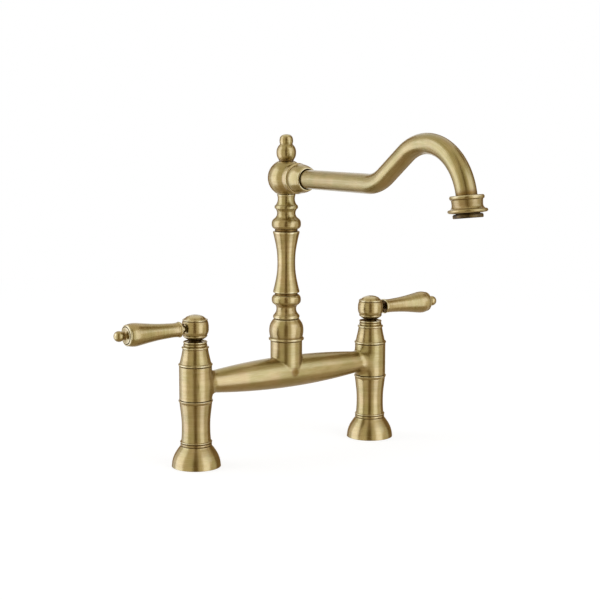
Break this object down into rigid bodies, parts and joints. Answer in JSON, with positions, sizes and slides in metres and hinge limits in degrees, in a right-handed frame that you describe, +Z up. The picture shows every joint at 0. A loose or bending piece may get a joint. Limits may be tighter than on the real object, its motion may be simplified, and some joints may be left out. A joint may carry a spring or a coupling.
{
  "type": "bridge kitchen faucet",
  "caption": "Deck-mounted bridge tap: hot and cold pillars with lever valves joined by a tapered bar, and a turned column with a hooked swivel spout.",
  "frame": {"origin": "on the deck, midway between the axes of the two pillars", "axes": "+X along the bridge towards the right-hand pillar, -Y towards the outlet of the spout, +Z up"},
  "size_m": [0.3286, 0.2614, 0.2764],
  "materials": {
    "brass": "brushed, aged brass",
    "inner_brass": "as machined",
    "steel": "plain stainless",
    "rubber": "matt",
    "ceramic": "lapped, opaque",
    "nylon": "moulded",
    "dark_plastic": "moulded"
  },
  "bodies": {
    "bridge": {"bridge_body": "brass", "swivel_nut": "brass", "swivel_bush": "nylon", "left_base_flange": "brass", "left_base_gasket": "rubber", "left_leg": "brass", "left_leg_seal_ring": "rubber", "left_valve_body": "inner_brass", "left_valve_seal_ring": "rubber", "left_valve_seat_seal": "rubber", "left_valve_fixed_disc": "ceramic", "left_bonnet": "brass", "right_base_flange": "brass", "right_base_gasket": "rubber", "right_leg": "brass", "right_leg_seal_ring": "rubber", "right_valve_body": "inner_brass", "right_valve_seal_ring": "rubber", "right_valve_seat_seal": "rubber", "right_valve_fixed_disc": "ceramic", "right_bonnet": "brass"},
    "spout": {"spout_spigot": "inner_brass", "spigot_seal_ring_lower": "rubber", "spigot_seal_ring_upper": "rubber", "spigot_snap_ring": "steel", "spout_riser": "inner_brass", "column_lower_baluster": "brass", "column_shaft": "brass", "column_upper_baluster": "brass", "column_ball_hub": "brass", "column_finial": "brass", "spout_ferrule": "brass", "spout_tube": "brass", "outlet_collar": "brass", "aerator_washer": "rubber", "aerator_housing": "dark_plastic", "aerator_insert": "dark_plastic"},
    "left_lever": {"left_lever_stud": "inner_brass", "left_lever_handle": "brass", "left_lever_finial": "brass", "left_valve_moving_disc": "ceramic", "left_valve_spindle": "inner_brass", "left_spindle_clip": "steel", "left_lever_hub": "brass", "left_hub_screw": "steel", "left_hub_cap": "brass"},
    "right_lever": {"right_lever_stud": "inner_brass", "right_lever_handle": "brass", "right_lever_finial": "brass", "right_valve_moving_disc": "ceramic", "right_valve_spindle": "inner_brass", "right_spindle_clip": "steel", "right_lever_hub": "brass", "right_hub_screw": "steel", "right_hub_cap": "brass"}
  },
  "joints": [
    {"name": "spout_swivel", "type": "hinge", "parent": "bridge", "child": "spout", "pos_m": [0, 0, 0.114], "axis": [0, 0, 1], "continuous": true},
    {"name": "left_lever_turn", "type": "hinge", "parent": "bridge", "child": "left_lever", "pos_m": [-0.09, 0, 0.1148], "axis": [0, 0, 1], "range_deg": [0, 90]},
    {"name": "right_lever_turn", "type": "hinge", "parent": "bridge", "child": "right_lever", "pos_m": [0.09, 0, 0.1148], "axis": [0, 0, 1], "range_deg": [-90, 0]}
  ]
}
